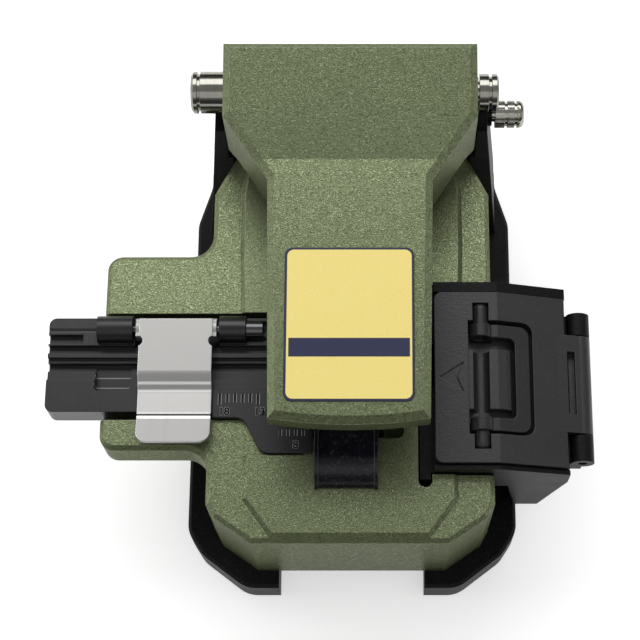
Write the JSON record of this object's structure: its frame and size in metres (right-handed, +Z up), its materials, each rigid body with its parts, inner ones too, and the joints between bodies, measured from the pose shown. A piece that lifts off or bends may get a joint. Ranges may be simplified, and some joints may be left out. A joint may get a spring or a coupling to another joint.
{
  "type": "fibre cleaver",
  "caption": "Bench fibre cleaver with a hinged arm over a sliding round blade, a fibre holder with a sprung clamp, and a scrap bin with a hinged lid.",
  "frame": {"origin": "on the table, under the point where the fibre line crosses the body's middle plane", "axes": "+X to the user's right along the fibre, +Y to the hinge at the back, +Z up"},
  "size_m": [0.0719, 0.0658, 0.0434],
  "materials": {
    "sole_rubber": "matte moulded rubber",
    "black_frame": "satin black, faint grain on the sides",
    "black_steel": "blackened steel",
    "green_casting": "olive green paint with a fine sandy sparkle",
    "black_anodised": "black anodised, satin",
    "bright_steel": "ground steel",
    "satin_steel": "satin spring steel",
    "dark_rubber": "matte rubber",
    "chrome_steel": "polished",
    "brass_bush": "plain turned",
    "gold_plate": "matte gold with a thin dark border",
    "satin_aluminium": "machined",
    "black_plastic": "fine grained black",
    "lid_plastic": "fine grained dark grey"
  },
  "bodies": {
    "base": {"rubber_sole": "sole_rubber", "base_frame": "black_frame", "base_screws": "black_steel", "main_body": "green_casting", "fibre_holder": "black_anodised", "holder_screws": "black_steel", "scale_plate": "black_anodised", "clamp_hinge_pin": "bright_steel", "hinge_shaft": "chrome_steel", "shaft_end_cap": "chrome_steel", "lower_clamps": "satin_steel", "lower_clamp_pads": "dark_rubber", "slide_rail": "bright_steel", "rail_screws": "black_steel", "spring_stop": "satin_aluminium", "return_spring": "bright_steel", "bin_box": "black_plastic", "bin_hinge_pin": "black_steel", "lock_bush": "black_anodised"},
    "arm": {"arm_cover": "green_casting", "label_plate": "gold_plate", "anvil_block": "satin_steel", "anvil_pad": "dark_rubber", "guide_pins": "bright_steel", "hinge_bushes": "brass_bush", "clamp_springs": "bright_steel"},
    "upper_clamp": {"upper_clamp": "black_anodised", "upper_clamp_pads": "dark_rubber"},
    "carriage": {"carriage": "satin_aluminium", "blade_bracket": "satin_aluminium", "bracket_screws": "black_steel", "blade_axle": "bright_steel", "push_pad": "black_plastic"},
    "blade": {"blade_disc": "bright_steel"},
    "fibre_clamp": {"clamp_plate": "satin_steel", "clamp_rubber": "dark_rubber"},
    "bin_lid": {"bin_lid": "lid_plastic", "handle_pins": "black_steel"},
    "lid_handle": {"lid_handle": "lid_plastic"},
    "lock": {"lock_plunger": "chrome_steel", "lock_knob": "chrome_steel"}
  },
  "joints": [
    {"name": "arm_hinge", "type": "hinge", "parent": "base", "child": "arm", "pos_m": [0, 0.0346, 0.0365], "axis": [-1, 0, 0], "range_deg": [0, 70]},
    {"name": "upper_clamp_slide", "type": "slide", "parent": "arm", "child": "upper_clamp", "axis": [0, 0, 1], "range_m": [0, 0.0008], "stiffness_N_per_m": 300, "springref_m": -0.001, "deforming": ["clamp_springs"]},
    {"name": "blade_slide", "type": "slide", "parent": "base", "child": "carriage", "axis": [0, 1, 0], "range_m": [0, 0.006], "stiffness_N_per_m": 60, "springref_m": -0.002, "deforming": ["return_spring"]},
    {"name": "blade_index", "type": "hinge", "parent": "carriage", "child": "blade", "pos_m": [0.0009, -0.0032, 0.01785], "axis": [1, 0, 0], "continuous": true},
    {"name": "fibre_clamp_hinge", "type": "hinge", "parent": "base", "child": "fibre_clamp", "pos_m": [-0.023, 0.0048, 0.0266], "axis": [-1, 0, 0], "range_deg": [0, 110]},
    {"name": "bin_lid_hinge", "type": "hinge", "parent": "base", "child": "bin_lid", "pos_m": [0.0304, -0.0022, 0.023], "axis": [0, 1, 0], "range_deg": [0, 100]},
    {"name": "lid_handle_hinge", "type": "hinge", "parent": "bin_lid", "child": "lid_handle", "pos_m": [0.0171, -0.0021, 0.0271], "axis": [0, -1, 0], "range_deg": [0, 95]},
    {"name": "lock_pull", "type": "slide", "parent": "base", "child": "lock", "axis": [1, 0, 0], "range_m": [0, 0.002], "stiffness_N_per_m": 200, "springref_m": -0.001}
  ]
}
